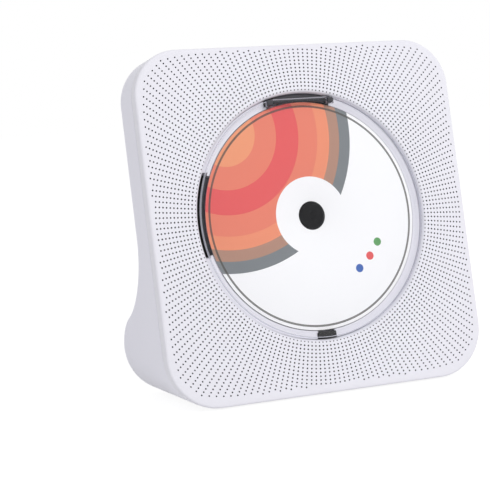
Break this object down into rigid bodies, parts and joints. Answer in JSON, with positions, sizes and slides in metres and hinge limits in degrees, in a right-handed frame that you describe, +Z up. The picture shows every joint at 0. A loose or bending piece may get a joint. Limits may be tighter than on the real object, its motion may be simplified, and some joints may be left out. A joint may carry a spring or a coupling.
{
  "type": "compact disc player",
  "caption": "Leaning square desk-top disc player with a perforated face, round disc well under a clear hinged cover, and a back that flares into a foot.",
  "frame": {"origin": "on the standing surface, under the middle of the player's overall box", "axes": "+Z up, +X to the right as seen from the front, the face towards -Y"},
  "size_m": [0.182, 0.0705, 0.1815],
  "materials": {
    "panel_white": "fine satin moulding, white",
    "shell_white": "fine satin moulding, white",
    "key_white": "satin moulding, pale grey",
    "clear_acrylic": "polished, clear",
    "tray_white": "satin moulding, white",
    "black_plastic": "fine matt moulding, black",
    "disc_label": "printed polycarbonate",
    "steel": "plated, bright",
    "motor_steel": "plated can",
    "rubber": "soft, matt",
    "cloth": "thin knitted speaker cloth",
    "paper_cone": "pressed paper, black",
    "magnet_grey": "ferrite with plated plates",
    "board_green": "solder mask, green",
    "chip_black": "moulded epoxy",
    "battery_blue": "shrink sleeve",
    "gear_nylon": "moulded, natural",
    "lens_glass": "coated lens",
    "socket_metal": "plated shell"
  },
  "bodies": {
    "casing": {"front_panel": "panel_white", "grille_cloth": "cloth", "rear_shell": "shell_white", "case_screws": "steel", "base_plate": "shell_white", "base_screws": "steel", "rubber_feet": "rubber", "well_tray": "tray_white", "tray_screws": "steel", "hinge_block": "black_plastic", "hinge_pin": "steel", "cover_catch": "black_plastic", "finger_recess": "black_plastic", "spindle_motor": "motor_steel", "chassis": "motor_steel", "dampers": "rubber", "damper_screws": "steel", "guide_rods": "steel", "gear_clip": "steel", "sled_motor": "motor_steel", "speaker_frames": "black_plastic", "speaker_magnets": "magnet_grey", "speaker_screws": "steel", "key_board": "board_green", "key_switches": "chip_black", "key_screws": "steel", "main_board": "board_green", "board_screws": "steel", "board_parts": "chip_black", "battery_pack": "battery_blue", "dc_socket": "black_plastic", "aux_socket": "black_plastic", "usb_socket": "socket_metal", "switch_body": "chip_black"},
    "cover": {"dust_cover": "clear_acrylic"},
    "spindle": {"disc": "disc_label", "spindle_hub": "black_plastic", "hub_balls": "steel", "spindle_shaft": "steel"},
    "sled": {"pickup_sled": "black_plastic", "pickup_lens": "lens_glass"},
    "feed_gear": {"sled_gear": "gear_nylon"},
    "feed_pinion": {"motor_pinion": "gear_nylon"},
    "switch": {"switch_knob": "black_plastic"},
    "cone_left": {"speaker_cone_left": "paper_cone"},
    "cone_right": {"speaker_cone_right": "paper_cone"},
    "key_power": {"button_power": "key_white"},
    "key_previous": {"button_previous": "key_white"},
    "key_play": {"button_play": "key_white"},
    "key_next": {"button_next": "key_white"},
    "key_mode": {"button_mode": "key_white"}
  },
  "joints": [
    {"name": "cover_hinge", "type": "hinge", "parent": "casing", "child": "cover", "pos_m": [0, -0.00964, 0.15168], "axis": [-1, 0, 0], "range_deg": [0, 95]},
    {"name": "disc_spin", "type": "hinge", "parent": "casing", "child": "spindle", "pos_m": [0, -0.02006, 0.09259], "axis": [0, -0.9848, 0.1736], "continuous": true},
    {"name": "sled_slide", "type": "slide", "parent": "casing", "child": "sled", "axis": [1, 0, 0], "range_m": [-0.006, 0.024]},
    {"name": "feed_gear_spin", "type": "hinge", "parent": "casing", "child": "feed_gear", "pos_m": [0.036, -0.00179, 0.11699], "axis": [0, -0.9848, 0.1736], "range_deg": [-43.5, 172.5]},
    {"name": "feed_pinion_spin", "type": "hinge", "parent": "casing", "child": "feed_pinion", "pos_m": [0.0224, -0.00179, 0.11699], "axis": [0, -0.9848, 0.1736], "range_deg": [-246.5, 62.5]},
    {"name": "power_switch_slide", "type": "slide", "parent": "casing", "child": "switch", "axis": [1, 0, 0], "range_m": [0, 0.004]},
    {"name": "key_power_press", "type": "slide", "parent": "casing", "child": "key_power", "axis": [0, -0.1736, -0.9848], "range_m": [0, 0.0008], "stiffness_N_per_m": 400},
    {"name": "key_previous_press", "type": "slide", "parent": "casing", "child": "key_previous", "axis": [0, -0.1736, -0.9848], "range_m": [0, 0.0008], "stiffness_N_per_m": 400},
    {"name": "key_play_press", "type": "slide", "parent": "casing", "child": "key_play", "axis": [0, -0.1736, -0.9848], "range_m": [0, 0.0008], "stiffness_N_per_m": 400},
    {"name": "key_next_press", "type": "slide", "parent": "casing", "child": "key_next", "axis": [0, -0.1736, -0.9848], "range_m": [0, 0.0008], "stiffness_N_per_m": 400},
    {"name": "key_mode_press", "type": "slide", "parent": "casing", "child": "key_mode", "axis": [0, -0.1736, -0.9848], "range_m": [0, 0.0008], "stiffness_N_per_m": 400},
    {"name": "cone_left_stroke", "type": "slide", "parent": "casing", "child": "cone_left", "axis": [0, -0.9848, 0.1736], "range_m": [-0.0008, 0.0008], "stiffness_N_per_m": 1500},
    {"name": "cone_right_stroke", "type": "slide", "parent": "casing", "child": "cone_right", "axis": [0, -0.9848, 0.1736], "range_m": [-0.0008, 0.0008], "stiffness_N_per_m": 1500}
  ],
  "couplings": [
    {"joint": "feed_gear_spin", "follows": "sled_slide", "rad_per_m": 125},
    {"joint": "feed_pinion_spin", "follows": "sled_slide", "rad_per_m": -178.57}
  ]
}
